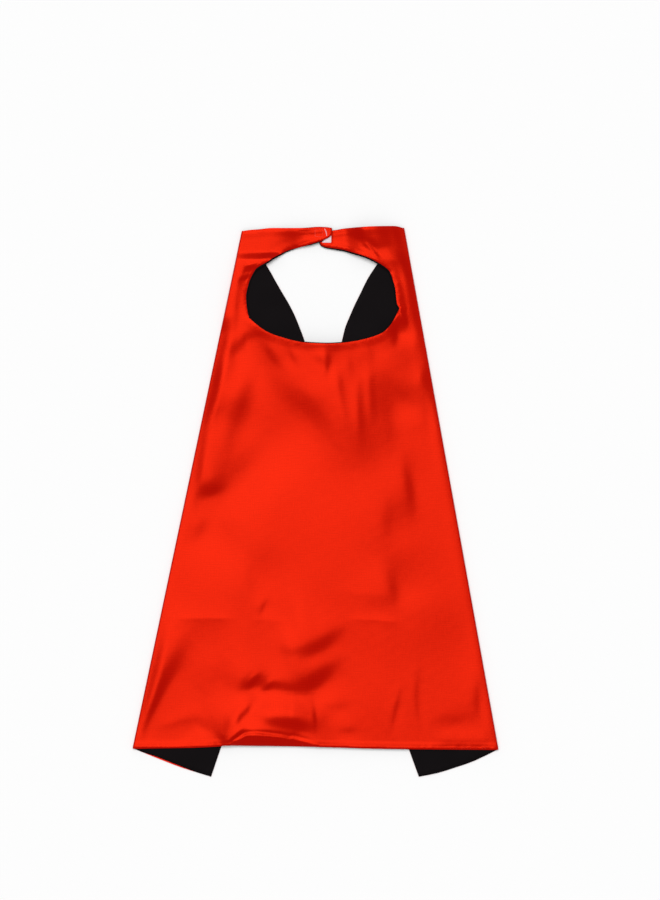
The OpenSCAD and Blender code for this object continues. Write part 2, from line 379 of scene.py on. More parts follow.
DROPS = [
    # collar, left side
    ([(236, 272), (249, 270), (262, 264)], 4.0, 1.8), ([(232, 282), (246, 277), (258, 272)], 4.0, 1.6),
    ([(262, 234), (284, 235), (304, 234)], 9.0, 2.6, 0.3, 0.3, 2.5), ([(242, 240), (256, 237), (272, 233)], 8.0, 1.4, 0.3, 0.3, 2.5), ([(262, 254), (282, 243), (302, 237)], 5.0, 1.2),
    ([(228, 336), (235, 306), (241, 280), (248, 250)], 12.0, 2.4, 0.3, 0.3, 2.5), ([(262, 262), (256, 250), (252, 236)], 9.0, 1.8, 0.4, 0.4, 2.5),
    # collar, right side
    ([(350, 228), (366, 238), (384, 254), (398, 268), (408, 292)], 13.0, 5.4, 0.3, 0.4, 2.5), ([(340, 229), (352, 232), (366, 240)], 8.0, 2.6, 0.3, 0.3, 2.5), ([(384, 228), (398, 240), (408, 262)], 9.0, 1.4, 0.3, 0.3, 2.5),
    ([(398, 240), (409, 290), (416, 350)], 12.0, 3.4, 0.3, 0.3, 2.5), ([(350, 247), (362, 250), (374, 258)], 3.5, 1.0),
    # round the neckline
    ([(232, 366), (231, 340), (240, 306)], 10.0, 1.4), ([(222, 360), (240, 342), (262, 328)], 12.0, 3.0, 0.3, 0.3), ([(247, 352), (243, 338), (246, 326)], 4.0, 0.8), ([(394, 350), (395, 334), (391, 314)], 4.6, 1.8),
    ([(262, 338), (270, 354), (284, 372)], 7.0, 1.0), ([(286, 342), (292, 356), (300, 370)], 4.2, 0.8), ([(306, 352), (322, 360), (338, 370)], 8.0, 1.8), ([(326, 386), (328, 363), (327, 342)], 6.0, 2.0),
    ([(354, 384), (350, 362), (345, 344)], 7.0, 0.9), ([(376, 364), (371, 352), (364, 340)], 5.0, 0.6),
    # upper body
    ([(246, 382), (286, 390), (312, 408), (334, 438), (350, 480)], 24.0, 4.6, 0.5, 0.5, 7.0), ([(362, 490), (362, 430), (356, 362)], 26.0, 2.8),
    ([(394, 470), (389, 420), (380, 362)], 15.0, 1.6), ([(338, 426), (338, 380), (330, 338)], 15.0, 2.2), ([(366, 368), (388, 382), (412, 402), (440, 424)], 17.0, 2.4),
    ([(212, 504), (222, 470), (233, 430), (246, 392), (262, 340)], 20.0, 6.2, 0.6, 0.35, 4.0), ([(200, 440), (212, 414), (224, 388)], 12.0, 3.0), ([(222, 400), (230, 368), (240, 338)], 13.0, 3.0),
    ([(190, 493), (209, 492), (228, 487)], 15.0, 4.8), ([(188, 546), (203, 528), (216, 508)], 12.0, 2.8), ([(430, 440), (428, 420), (420, 396)], 10.0, 1.4), ([(440, 352), (428, 366), (412, 384)], 12.0, 2.2),
    ([(414, 530), (410, 488), (402, 442)], 9.0, 1.8), ([(397, 612), (393, 585), (383, 552)], 12.0, 2.4, 0.35, 0.6), ([(390, 556), (386, 525), (392, 490)], 11.0, 1.0),
    ([(256, 612), (250, 580), (244, 545)], 14.0, 2.0),
    # lower body
    ([(426, 744), (414, 700), (421, 656)], 4.0, 0.6), ([(482, 734), (476, 702), (486, 664)], 8.0, 1.4), ([(258, 620), (262, 607), (270, 594)], 4.0, 0.7), ([(204, 706), (214, 680), (224, 644)], 11.0, 0.9),
    ([(272, 644), (298, 654), (322, 646), (354, 619)], 12.0, 3.2), ([(270, 690), (302, 690), (322, 676), (348, 652)], 13.5, 5.0),
    ([(234, 698), (250, 681), (268, 670)], 10.0, 3.6), ([(248, 686), (276, 685), (302, 690)], 10.0, 3.0),
    ([(138, 738), (152, 708), (166, 680), (180, 652), (204, 610)], 18.0, 7.4, 0.3, 0.7), ([(146, 741), (168, 733), (196, 721)], 9.0, 2.6), ([(134, 744), (146, 716), (160, 690)], 12.0, 3.4, 0.3, 0.5), ([(206, 746), (200, 732), (195, 720)], 5.0, 1.1),
    ([(318, 709), (338, 706), (358, 702)], 8.0, 0.8), ([(330, 733), (346, 731), (364, 730)], 7.0, 0.8), ([(422, 726), (450, 719), (484, 716)], 11.0, 1.0), ([(432, 744), (462, 745), (496, 745.5)], 4.5, 1.6, 0.3, 0.2),
    ([(222, 746), (234, 727), (244, 712), (262, 694)], 8.0, 4.6),
    ([(315.5, 742), (315, 720), (312, 694)], 3.0, 0.5), ([(390, 737), (395, 710), (404, 680)], 3.0, 0.6),
]
RIDGES = [
    ([(240, 266), (249, 265), (260, 262)], 3.4, 1.0), ([(362, 240), (371, 249), (381, 262)], 3.0, 1.0), ([(398, 305), (402, 315), (406, 326)], 3.0, 0.9),
    ([(342, 244), (352, 244.5), (364, 247)], 5.0, 0.9), ([(333.2, 227), (332.8, 235), (332.2, 243)], 1.5, -0.55, 0.2, 0.2), ([(308, 243), (318, 244), (330, 246.5)], 1.2, -0.15), 
    ([(334, 352), (338, 390), (346, 440)], 6.5, 0.5), ([(356, 370), (357, 410), (360, 450)], 6.0, 0.35), ([(368, 352), (369, 390), (372, 430)], 6.0, 0.4),
    ([(245, 687), (253, 679), (260, 671)], 3.6, 0.6), ([(259, 693), (266, 686), (275, 678)], 3.6, 0.6),
    
]
CREASES = [
    ([(164, 619.5), (198, 618), (240, 618.5)], 16.0, 0.8), ([(246, 619), (266, 619.5), (292, 622)], 11.0, 0.25), ([(344, 619), (372, 619.5), (404, 622.5)], 12.0, 0.5),
    ([(231, 600), (232, 660), (231, 720)], 12.0, 0.06), ([(384, 610), (384, 660), (386, 710)], 12.0, 0.08), ([(318, 590), (356, 592), (404, 597)], 9.0, 0.12),
]
# the rumpled fold at the hem
RUMPLE = [([(146, 734), (176, 726), (206, 718)], 12.0, 2.6, 0.3, 0.3, 2.5), ([(226, 746), (237, 735), (248, 725)], 4.6, 3.0, 0.2, 0.3), ([(248, 711), (264, 720), (284, 722), (306, 725), (320, 737)], 15.0, 8.2, 0.35, 0.3, 2.5)]


def eased(x, xs, ys, soft):
    return sum(np.interp(x + k * soft, xs, ys) * w for k, w in ((-1, 0.12), (-0.66, 0.15), (-0.33, 0.15), (0, 0.16), (0.33, 0.15), (0.66, 0.15), (1, 0.12)))


def hem_roll(h, pts):
    """Part of the hem is rolled under: a crest, and a steep face from it down to the hem."""
    u, v = pts[:, 0] / UNIT + 315.5, 501.5 - pts[:, 1] / UNIT
    crest = eased(u, [224, 230, 236, 241, 246, 256, 268, 282, 290, 293, 300, 310, 322], [748, 745, 741, 738.5, 735.6, 735.2, 736, 737.8, 739.6, 738.8, 740.8, 743.6, 748], 1.5)
    tall = eased(u, [218, 232, 248, 262, 282, 302, 326], [0, 5.0, 9.0, 8.6, 7.0, 4.2, 0], 14)
    below = (v - crest) * UNIT
    face = np.maximum((747.4 - crest) * UNIT, 2.0)
    t = 0.5 * (below + np.sqrt(below * below + 0.5))
    h += tall * (1 - np.clip(t / face, 0, 1.05)) * np.exp(-(np.minimum(below, 0) / 36) ** 2)
    h -= 0.10 * tall * np.exp(-((below + 4.4) / 3.0) ** 2)


def strap_rise(pts):
    """The left strap leans toward the opening and climbs over the lower tab and its patch."""
    x = pts[:, 0]
    return 2.9 * smooth((x + 62) / 58) + 0.13 * (pts[:, 1] - 352) * (1 - smooth((x + 32) / 30))


def back_height(pts):
    """How far the back panel stands off its lowest position, in mm."""
    h = np.zeros(len(pts))
    for units, w, f, *more in DROPS:
        drop(h, pts, units, w, f, *more)
    for units, w, f, *more in RIDGES:
        ridge(h, pts, units, w, f, *more)
    for units, w, f in CREASES:
        crease(h, pts, units, w, f)
    h += 0.30 * waves(pts, 120, 3) + 0.02 * waves(pts, 16, 8)
    # air under the middle, none at the side folds or the hem
    fold = np.minimum(distance(pts, np.array(fold_ends["left"])), distance(pts, np.array(fold_ends["right"])))
    edge = distance(pts, hem_path)
    h = h * smooth(fold / 16) * (0.35 + 0.65 * smooth(edge / 26))
    y = pts[:, 1]
    h += (0.7 + 0.4 * smooth((y + 60) / 200)) * (1 - np.exp(-fold / 3.5)) + 4.7 * smooth(0.04 + fold / 125) * smooth(0.45 + edge / 650)
    h += 0.009 * np.maximum(y - 40, 0) * smooth(fold / 60)
    neck = distance(pts, neck_path)
    # the cut edge of the neckline stands up a little, and so does the cloth beside it
    h += (0.5 + 0.9 * np.exp(-((pts[:, 0] + 12) / 45) ** 2)) * np.exp(-neck / 13) * smooth((G(0, 312)[1] - y) / 20) * (1 - smooth((pts[:, 0] - 5) / 40))
    h += 0.6 * np.exp(-neck / 2) * smooth((G(0, 312)[1] - y) / 20)
    beside = smooth((y - G(0, 336)[1]) / 30)
    h += np.where(pts[:, 0] > 0, 3.1 * smooth(fold / 26) * (1 - smooth((y - G(0, 262)[1]) / 22)), 3.0 * np.clip(1 - fold / 44, 0, 1) ** 2) * beside
    for units, w, f, *more in RUMPLE:
        drop(h, pts, units, w, f, *more)
    hem_roll(h, pts)
    h *= 1 - 0.25 * smooth((y - G(0, 285)[1]) / 60)
    # the collar leans toward the opening
    h += np.where(pts[:, 0] < 0, 0.05, 0.035) * (y - 318 + np.sqrt((y - 318) ** 2 + 300)) * smooth((y - 270) / 40) * smooth(fold / 40)
    # its turned edges pucker
    s = pts[:, 0]
    pucker = np.exp(-(edge / 5.0) ** 2) * smooth(edge / 0.8)
    right = smooth((s - G(404, 0)[0]) / 25) * smooth((G(492, 0)[0] - s) / 12)
    left = smooth((s - G(140, 0)[0]) / 10) * smooth((G(224, 0)[0] - s) / 10)
    ripple = np.sin(s / 1.9 + 2.2 * np.sin(s / 11)) * (0.6 + 0.4 * np.sin(s / 7.3)) + 0.8 * np.sin(s / 4.1 + 2 + np.sin(s / 17))
    h += pucker * ripple * (0.13 * right + 0.11 * left + 0.03)
    ripple = np.sin(neck_s(pts) / 2.3) * np.exp(-(neck / 4.0) ** 2) * smooth(neck / 0.8)
    h += (0.04 + 0.07 * np.exp(-((pts[:, 0] - 22) / 9) ** 2) * (y > 300)) * ripple
    h = 0.5 * (h + np.sqrt(h * h + 0.6)) - 0.387
    # the right strap lies flat under the closure; the left one climbs to it
    h *= 1 - smooth((G(368, 0)[0] - pts[:, 0]) / 34) * smooth((y - G(0, 260)[1]) / 12)
    on = smooth((pts[:, 0] + 68) / 42) * smooth((y - G(0, 270)[1]) / 30) * (pts[:, 0] < -15)
    h = h * (1 - on) + on * strap_rise(pts)
    beyond = pts[:, 0] - G(331.4, 0)[0]      # the lower strap sinks just past the patch
    return h - 0.45 * smooth(beyond / 2.0) * np.exp(-(np.maximum(beyond, 0) / 7) ** 2) * smooth((y - G(0, 245)[1]) / 3)


def wing_height(pts, side):
    """Small undulation of a folded-under front, in mm, never below its lowest position."""
    h = 0.20 + 0.24 * waves(pts, 62, 11 if side == "left" else 12)
    return np.clip(h, 0, 0.5) * smooth(distance(pts, np.array(fold_ends[side])) / 12)


def tab_height(pts):
    """The upper tab climbs from the strap over the lower tab and its patches."""
    x = pts[:, 0]
    h = strap_rise(pts)
    box = np.maximum(np.abs(x - 4.5) - 5.2, np.abs(pts[:, 1] - 359.7) - 5.0)
    h += -0.12 * np.exp(-(box / 0.8) ** 2)                       # pulled in along the box stitching
    low = np.exp(-((pts[:, 1] - 353.2 - 0.05 * x) / 1.3) ** 2) * smooth((x + 2) / 3) * smooth((15 - x) / 3)
    h += 0.16 * low * np.sin(x * 2 * np.pi / 2.1)                # small puckers under it
    h += 0.25 * np.exp(-((x + 12) / 6) ** 2 - ((pts[:, 1] - 350) / 4) ** 2) * smooth((x - BEND_X) / 6)
    h += 0.10 * waves(pts, 14, 21) * smooth((x - BEND_X) / 6)
    return h


# ---------------------------------------------------------------- one ply as connected regions
def on_axis(p, name):
    a, b = FOLD[name]
    d = unit(b - a)
    return a + ((p - a) @ d) * d


def special_edges(loop, lines):
    """Indices i where loop[i] to loop[i+1] is the edge that lies along each line."""
    found = {}
    n = len(loop)
    for name, (a, b) in lines.items():
        d = unit(b - a)
        off = np.abs((loop - a) @ np.array([-d[1], d[0]]))
        best = (0, None)
        for i in range(n):
            j = (i + 1) % n
            if off[i] < 0.6 and off[j] < 0.6:
                best = max(best, (np.linalg.norm(loop[j] - loop[i]), i), key=lambda t: t[0])
        found[name] = best[1]
    return found


def build_loop(loop, edges, points, h):
    """The closed loop resampled at h on its free stretches, with `points` on its special edges. Returns loop points and the free stretches."""
    n = len(loop)
    order = sorted(edges.items(), key=lambda kv: kv[1])
    out, free = [], []
    for k, (name, i) in enumerate(order):
        pts = points[name]
        if np.linalg.norm(pts[0] - loop[i]) > np.linalg.norm(pts[-1] - loop[i]):
            pts = pts[::-1]
        out.append(pts[:-1])
        nxt = order[(k + 1) % len(order)][1]
        idx = [(i + 1 + m) % n for m in range(((nxt - i - 1) % n) + 1)]
        path = loop[idx].copy()
        path[0] = pts[-1]
        other = points[order[(k + 1) % len(order)][0]]
        end = loop[nxt]
        path[-1] = other[0] if np.linalg.norm(other[0] - end) < np.linalg.norm(other[-1] - end) else other[-1]
        path = resample(path, h)
        free.append(path)
        out.append(path[:-1])
    return np.concatenate(out), free


BEND_LINE = (np.array([BEND_X, 330.0]), np.array([BEND_X, 380.0]))
back_lines = {"left": FOLD["left"], "right": FOLD["right"], "bend": BEND_LINE}

e = special_edges(out_back, back_lines)
n_out = len(out_back)
fold_ends = {s: (on_axis(out_back[e[s]], s), on_axis(out_back[(e[s] + 1) % n_out], s)) for s in ("left", "right")}
bend_ends = tuple(np.array([BEND_X, out_back[i % n_out][1]]) for i in (e["bend"], e["bend"] + 1))


def even(a, b, h):
    n = max(2, int(round(np.linalg.norm(b - a) / h)))
    return a + (b - a) * np.linspace(0, 1, n + 1)[:, None]


SHARED = {s: even(*fold_ends[s], COARSE) for s in ("left", "right")}
SHARED["bend"] = even(*bend_ends, 1.3)

# the hem and the neckline of the back panel, for features that follow them
_, free_back = build_loop(out_back, e, SHARED, 3.0)
hem_path = min(free_back, key=lambda p: p[:, 1].mean())
neck_path = [p for p in free_back if p[:, 1].min() < 230 and p[:, 1].min() > 0][0]
_neck_len = np.concatenate([[0], np.cumsum(np.linalg.norm(np.diff(neck_path, axis=0), axis=1))])


def neck_s(pts):
    """Rough length along the neckline for each point, by its angle about the opening."""
    c = np.array([8.0, 285.0])
    return np.arctan2(pts[:, 1] - c[1], pts[:, 0] - c[0]) * 85


def shrink(loop, line, amount, where):
    """Moves a loop's points inward by amount(point) mm, where `where` says."""
    n = len(loop)
    t = np.roll(loop, -1, axis=0) - np.roll(loop, 1, axis=0)
    t = t / np.maximum(np.linalg.norm(t, axis=1), 1e-9)[:, None]
    left = np.stack([-t[:, 1], t[:, 0]], 1)
    area = 0.5 * np.sum(loop[:, 0] * np.roll(loop[:, 1], -1) - np.roll(loop[:, 0], -1) * loop[:, 1])
    return loop + left * (1 if area > 0 else -1) * (amount * where)[:, None]


def ccw(loop):
    area = 0.5 * np.sum(loop[:, 0] * np.roll(loop[:, 1], -1) - np.roll(loop[:, 0], -1) * loop[:, 1])
    return loop if area > 0 else loop[::-1]


def box_of(u0, v0, u1, v1):
    a, b = G(u0, v0), G(u1, v1)
    return (min(a[0], b[0]), min(a[1], b[1]), max(a[0], b[0]), max(a[1], b[1]))


FINE_BOXES = [box_of(222, 694, 326, 752), box_of(130, 737, 502, 754), box_of(302, 224, 350, 252), box_of(236, 258, 262, 282), box_of(358, 236, 384, 264),
              box_of(394, 304, 410, 326), box_of(138, 612, 400, 624)]
STEPS = 10      # round a fold


def make_ply(kind, back, wings, tab):
    """Regions of one ply: points, triangles seen from the outer side, distance to the free edge, flat place, and a function of height."""
    regions = {}
    back = ccw(back)
    if kind == "lining":      # the lining shows as a thin dark rim along the straps, partly real lining and partly a dark rim standing in for painted shade under their edges
        rim = (distance(back, neck_path) < 4) * smooth((back[:, 1] - G(0, 276)[1]) / 14) * smooth((352 - back[:, 1]) / 3) * smooth((np.abs(back[:, 0] - BEND_X) - 4) / 8)
        back = shrink(back, None, -1.0, rim)
        tab = ccw(tab)
        # the tab's lining is let out along its lower edge: a dark rim, partly lining and partly painted shade under the
        # tab
        low = smooth((349 + 0.25 * (tab[:, 0] + 21) - tab[:, 1]) / 2) * smooth((tab[:, 0] - BEND_X - 3) / 8) * smooth((13 - tab[:, 0]) / 6)
        tab = shrink(tab, None, -1.3, low)
    ids = special_edges(back, back_lines)
    loop, free = build_loop(back, ids, SHARED, 2.0)
    v, f = triangulate(loop, COARSE, FINE_BOXES)
    d = np.min([distance(v, p) for p in free], axis=0)
    regions["back"] = dict(xy=v, tri=f, d=d, flat=v.copy(), lift=back_height(v), free=free)
    for s in ("left", "right"):
        w = ccw(wings[s])
        ids = special_edges(w, {s: FOLD[s]})
        loop, free = build_loop(w, ids, SHARED, 2.5)
        if kind == "lining" and s == "left":     # the outer cloth rolls over the lining along the hem of the left front
            tail = smooth((-loop[:, 1] - 335) / 10) * smooth((-158 - loop[:, 0]) / 30)
            loop = shrink(loop, None, 1.5, tail)
            free = [loop]
        v, f = triangulate(loop, 4.5)
        dist = np.min([distance(v, p) for p in (free if not (kind == "lining" and s == "left") else [loop])], axis=0)
        if kind == "lining" and s == "left":
            dist = np.where(distance(v, SHARED[s]) < 0.2, np.minimum(np.linalg.norm(v - SHARED[s][0], axis=1), np.linalg.norm(v - SHARED[s][-1], axis=1)), dist)
            away = distance(v, SHARED[s])
            dist = np.where((dist > away - 0.5) & (away < 12), 12.0, dist)
        a, b = FOLD[s]
        t = unit(b - a)
        nrm = np.array([-t[1], t[0]])
        outward = nrm if ((np.array([0, 0]) - a) @ nrm) < 0 else -nrm
        off = (v - a) @ outward
        flat = v - 2 * off[:, None] * outward + outward * (np.pi * MID)
        regions["wing_" + s] = dict(xy=v, tri=f[:, ::-1], d=dist, flat=flat, lift=wing_height(v, s), free=free)
        # the fold itself
        P = SHARED[s]
        K = STEPS + 1
        th = np.linspace(np.pi / 2, -np.pi / 2, K)
        base = np.repeat(P, K, axis=0)
        ang = np.tile(th, len(P))
        tri = []
        for i in range(len(P) - 1):
            for k in range(STEPS):
                p00, p01, p10, p11 = i * K + k, i * K + k + 1, (i + 1) * K + k, (i + 1) * K + k + 1
                tri += [(p00, p01, p11), (p00, p11, p10)]
        tri = np.array(tri)
        # facing outward
        x = base + np.cos(ang)[:, None] * outward
        z = np.sin(ang)
        q = np.concatenate([x, z[:, None]], 1)
        c = q[tri[0]]
        if np.cross(c[1] - c[0], c[2] - c[0]) @ np.append(outward * np.cos(th[0] / 2 + th[1] / 2), np.sin(th[0] / 2 + th[1] / 2)) < 0:
            tri = tri[:, ::-1]
        sdist = np.minimum(np.linalg.norm(base - P[0], axis=1), np.linalg.norm(base - P[-1], axis=1))
        flat = base + outward * ((np.pi / 2 - ang) * MID)[:, None]
        regions["fold_" + s] = dict(xy=base, tri=tri, d=sdist, flat=flat, ang=ang, outward=outward, lift=np.repeat(back_height(P), K) * smooth(np.sin(ang)), free=[])
    t = ccw(tab)
    ids = special_edges(t, {"bend": BEND_LINE})
    loop, free = build_loop(t, ids, SHARED, 1.2)
    v, f = triangulate(loop, 1.4)
    d = np.min([distance(v, p) for p in free], axis=0)
    regions["tab"] = dict(xy=v, tri=f, d=d, flat=v.copy(), lift=tab_height(v), free=free)
    return regions


def place(name, r, n):
    """Where a region's points lie in mm, at heights n above the fold axis."""
    if name.startswith("fold"):
        xy = r["xy"] + (np.cos(r["ang"]) * n)[:, None] * r["outward"]
        return np.concatenate([xy, (AXIS_Z + n * np.sin(r["ang"]) + r["lift"])[:, None]], 1)
    if name.startswith("wing"):
        return np.concatenate([r["xy"], (AXIS_Z - n + r["lift"])[:, None]], 1)
    return np.concatenate([r["xy"], (AXIS_Z + n + r["lift"])[:, None]], 1)


def heights(kind, name, d):
    """Upper and lower surface of a ply, above the fold axis, as the cloth closes at its sewn edge."""
    near = np.exp(-((d - 1.7) / 1.1) ** 2)
    rounded = np.sqrt(1 - (1 - np.clip(d / 1.6, 0, 1)) ** 2)
    puff = 0.22 * smooth(d / 2) * (1 - smooth((d - 6.5) / 4)) if name in ("back", "tab") else 0 * d
    if kind == "outer":
        low = MID + 0.04 + 0.20 * near * (name in ("back", "tab"))
        return low + 0.10 + (PLY - 0.10) * rounded + puff, low
    high = MID - 0.04 - 0.20 * near
    return high, high - 0.10 - (PLY - 0.10) * rounded


def free_edges(tri):
    """Edges used once, as seen in the triangles' own direction."""
    e = np.concatenate([tri[:, [0, 1]], tri[:, [1, 2]], tri[:, [2, 0]]])
    key = {}
    for a, b in e.tolist():
        key[(a, b)] = key.get((a, b), 0) + 1
    return np.array([k for k in key if (k[1], k[0]) not in key])


def vertex_normals(parts):
    """Smooth normals over several regions whose points meet."""
    allp = np.concatenate([p for p, _ in parts])
    keys = np.round(allp * 200).astype(np.int64)
    _, inv = np.unique(keys, axis=0, return_inverse=True)
    inv = inv.ravel()
    acc = np.zeros((inv.max() + 1, 3))
    at = 0
    for p, tri in parts:
        a, b, c = p[tri[:, 0]], p[tri[:, 1]], p[tri[:, 2]]
        n = np.cross(b - a, c - a)
        for k in range(3):
            np.add.at(acc, inv[at + tri[:, k]], n)
        at += len(p)
    acc /= np.maximum(np.linalg.norm(acc, axis=1), 1e-12)[:, None]
    out, at = [], 0
    for p, _ in parts:
        out.append(acc[inv[at:at + len(p)]])
        at += len(p)
    return out


FLAT_LO, FLAT_SIZE = np.array([-380.0, -380.0]), 780.0


def mesh_object(name, verts, faces, normals=None, uvs=None, mat=None):
    me = bpy.data.meshes.new(name)
    me.vertices.add(len(verts))
    me.vertices.foreach_set("co", (np.asarray(verts) / 1000).astype(np.float32).ravel())
    sizes = np.array([len(f) for f in faces])
    loops = np.concatenate([np.asarray(f) for f in faces]) if not isinstance(faces, np.ndarray) else faces.ravel()
    me.loops.add(len(loops))
    me.loops.foreach_set("vertex_index", loops.astype(np.int32))
    me.polygons.add(len(sizes))
    me.polygons.foreach_set("loop_start", np.concatenate([[0], np.cumsum(sizes)[:-1]]).astype(np.int32))
    me.polygons.foreach_set("use_smooth", np.ones(len(sizes), bool))
    me.update(calc_edges=True)
    if uvs is not None:
        layer = me.uv_layers.new(name="Cloth")
        layer.uv.foreach_set("vector", uvs[loops].astype(np.float32).ravel())
    if normals is not None:
        me.normals_split_custom_set([tuple(n) for n in normals])
    me.validate()
    ob = bpy.data.objects.new(name, me)
    bpy.context.scene.collection.objects.link(ob)
    if mat is not None:
        me.materials.append(mat)
    return ob


def make_shells(kind, regions, names):
    """Closed thin shells, one per named group of regions, with normals that run on from one to the next."""
    upper, lower = {}, {}
    for name, r in regions.items():
        hi, lo = heights(kind, name, r["d"])
        upper[name], lower[name] = place(name, r, hi), place(name, r, lo)
    order = list(regions)
    nu = dict(zip(order, vertex_normals([(upper[k], regions[k]["tri"]) for k in order])))
    nl = dict(zip(order, vertex_normals([(lower[k], regions[k]["tri"][:, ::-1]) for k in order])))
    made = {}
    for piece, members in names.items():
        U = np.concatenate([upper[k] for k in members])
        L = np.concatenate([lower[k] for k in members])
        NU = np.concatenate([nu[k] for k in members])
        NL = np.concatenate([nl[k] for k in members])
        flat = np.concatenate([regions[k]["flat"] for k in members])
        tri, at = [], 0
        for k in members:
            tri.append(regions[k]["tri"] + at)
            at += len(regions[k]["xy"])
        tri = np.concatenate(tri)
        # join points that meet, so that a piece of several regions is one closed shell
        both = np.concatenate([U, L], 1)
        _, first, inv = np.unique(np.round(both * 200).astype(np.int64), axis=0, return_index=True, return_inverse=True)
        inv = inv.ravel()
        U, L, NU, NL, flat = U[first], L[first], NU[first], NL[first], flat[first]
        tri = inv[tri]
        tri = tri[(tri[:, 0] != tri[:, 1]) & (tri[:, 1] != tri[:, 2]) & (tri[:, 2] != tri[:, 0])]
        n = len(U)
        edges = free_edges(tri)
        a, b = edges[:, 0], edges[:, 1]
        walls = np.concatenate([np.stack([a + n, b + n, b], 1), np.stack([a + n, b, a], 1)])
        faces = np.concatenate([tri, tri[:, ::-1] + n, walls])
        verts = np.concatenate([U, L])
        wn = np.cross(verts[walls[:, 1]] - verts[walls[:, 0]], verts[walls[:, 2]] - verts[walls[:, 0]])
        wn /= np.maximum(np.linalg.norm(wn, axis=1), 1e-12)[:, None]
        norm = np.concatenate([NU[tri].reshape(-1, 3), NL[tri[:, ::-1]].reshape(-1, 3), np.repeat(wn, 3, axis=0)])
        uv = (np.concatenate([flat, flat]) - FLAT_LO) / FLAT_SIZE
        made[piece] = mesh_object(piece, verts, faces, norm, uv)
    return made


import time
t0 = time.time()
outer = make_ply("outer", out_back, out_wing, out_tab)
lining = make_ply("lining", lin_back, lin_wing, lin_tab)
print("plies", {k: (len(r["xy"]), len(r["tri"])) for k, r in outer.items()}, round(time.time() - t0, 1), "s")

SPLIT = lambda ply: {
    ply + "_back": ["back"], ply + "_left_front": ["fold_left", "wing_left"],
    ply + "_right_front": ["fold_right", "wing_right"], ply + "_neck_tab": ["tab"]}
shells = {**make_shells("outer", outer, SPLIT("outer_satin")), **make_shells("lining", lining, SPLIT("lining_satin"))}
print("shells", round(time.time() - t0, 1), "s")


# ---------------------------------------------------------------- materials
def new_material(name):
    m = bpy.data.materials.new(name)
    m.use_nodes = True
    nt = m.node_tree
    nt.nodes.clear()
    out = nt.nodes.new("ShaderNodeOutputMaterial")
    p = nt.nodes.new("ShaderNodeBsdfPrincipled")
    nt.links.new(p.outputs["BSDF"], out.inputs["Surface"])
    return m, nt, p


def math_node(nt, op, a, b=None):
    n = nt.nodes.new("ShaderNodeMath")
    n.operation = op
    for i, x in enumerate((a, b)):
        if x is None:
            continue
        if isinstance(x, (int, float)):
            n.inputs[i].default_value = x
        else:
            nt.links.new(x, n.inputs[i])
    return n.outputs[0]


def satin(name, dark, light, rough, spec, tint, ior, sheen, weave=0.038):
    """Woven satin: long floats across the cloth, a little slub, and a slow change of shade."""
    m, nt, p = new_material(name)
    uv = nt.nodes.new("ShaderNodeUVMap")
    uv.uv_map = "Cloth"
    sep = nt.nodes.new("ShaderNodeSeparateXYZ")
    nt.links.new(uv.outputs["UV"], sep.inputs[0])
    slow = nt.nodes.new("ShaderNodeTexNoise")
    slow.inputs["Scale"].default_value = 7
    slow.inputs["Detail"].default_value = 3
    nt.links.new(uv.outputs["UV"], slow.inputs["Vector"])
    # slub: noise drawn out along the weft and along the warp
    streaks = []
    for sx, sy in ((40, 900), (900, 40)):
        mp = nt.nodes.new("ShaderNodeMapping")
        mp.inputs["Scale"].default_value = (sx, sy, 1)
        nt.links.new(uv.outputs["UV"], mp.inputs["Vector"])
        n = nt.nodes.new("ShaderNodeTexNoise")
        n.inputs["Scale"].default_value = 1
        n.inputs["Detail"].default_value = 2
        nt.links.new(mp.outputs[0], n.inputs["Vector"])
        streaks.append(n.outputs["Fac"])
    slub = math_node(nt, "ADD", math_node(nt, "MULTIPLY", streaks[0], 0.6), math_node(nt, "MULTIPLY", streaks[1], 0.4))
    mix = math_node(nt, "ADD", math_node(nt, "MULTIPLY", slow.outputs["Fac"], 0.55), math_node(nt, "MULTIPLY", slub, 0.45))
    ramp = nt.nodes.new("ShaderNodeValToRGB")
    ramp.color_ramp.elements[0].position, ramp.color_ramp.elements[1].position = 0.3, 0.7
    ramp.color_ramp.elements[0].color, ramp.color_ramp.elements[1].color = (*dark, 1), (*light, 1)
    nt.links.new(mix, ramp.inputs[0])
    nt.links.new(ramp.outputs[0], p.inputs["Base Color"])
    # weave: five-end satin, 0.35 mm threads
    wx = math_node(nt, "SINE", math_node(nt, "MULTIPLY", sep.outputs["X"], 2 * math.pi * FLAT_SIZE / 0.45))
    skew = math_node(nt, "ADD", math_node(nt, "MULTIPLY", sep.outputs["Y"], 2 * math.pi * FLAT_SIZE / 0.40), math_node(nt, "MULTIPLY", sep.outputs["X"], 2 * math.pi * FLAT_SIZE / 2.25))
    wy = math_node(nt, "SINE", skew)
    weave_h = math_node(nt, "ADD", math_node(nt, "MULTIPLY", wx, 0.35), math_node(nt, "MULTIPLY", wy, 0.65))
    total = math_node(nt, "ADD", math_node(nt, "MULTIPLY", weave_h, 0.35), math_node(nt, "MULTIPLY", slub, 1.1))
    bump = nt.nodes.new("ShaderNodeBump")
    bump.inputs["Strength"].default_value = weave
    bump.inputs["Distance"].default_value = 0.0002
    nt.links.new(total, bump.inputs["Height"])
    nt.links.new(bump.outputs[0], p.inputs["Normal"])
    rr = nt.nodes.new("ShaderNodeMapRange")
    rr.inputs["From Min"].default_value, rr.inputs["From Max"].default_value = 0.3, 0.7
    rr.inputs["To Min"].default_value, rr.inputs["To Max"].default_value = rough - 0.03, rough + 0.03
    nt.links.new(slub, rr.inputs["Value"])
    nt.links.new(rr.outputs[0], p.inputs["Roughness"])
    p.inputs["Specular IOR Level"].default_value = spec
    p.inputs["Specular Tint"].default_value = (*tint, 1)
    p.inputs["IOR"].default_value = ior
    p.inputs["Sheen Weight"].default_value = sheen[0]
    p.inputs["Sheen Roughness"].default_value = 0.4
    p.inputs["Sheen Tint"].default_value = (*sheen[1], 1)
    return m


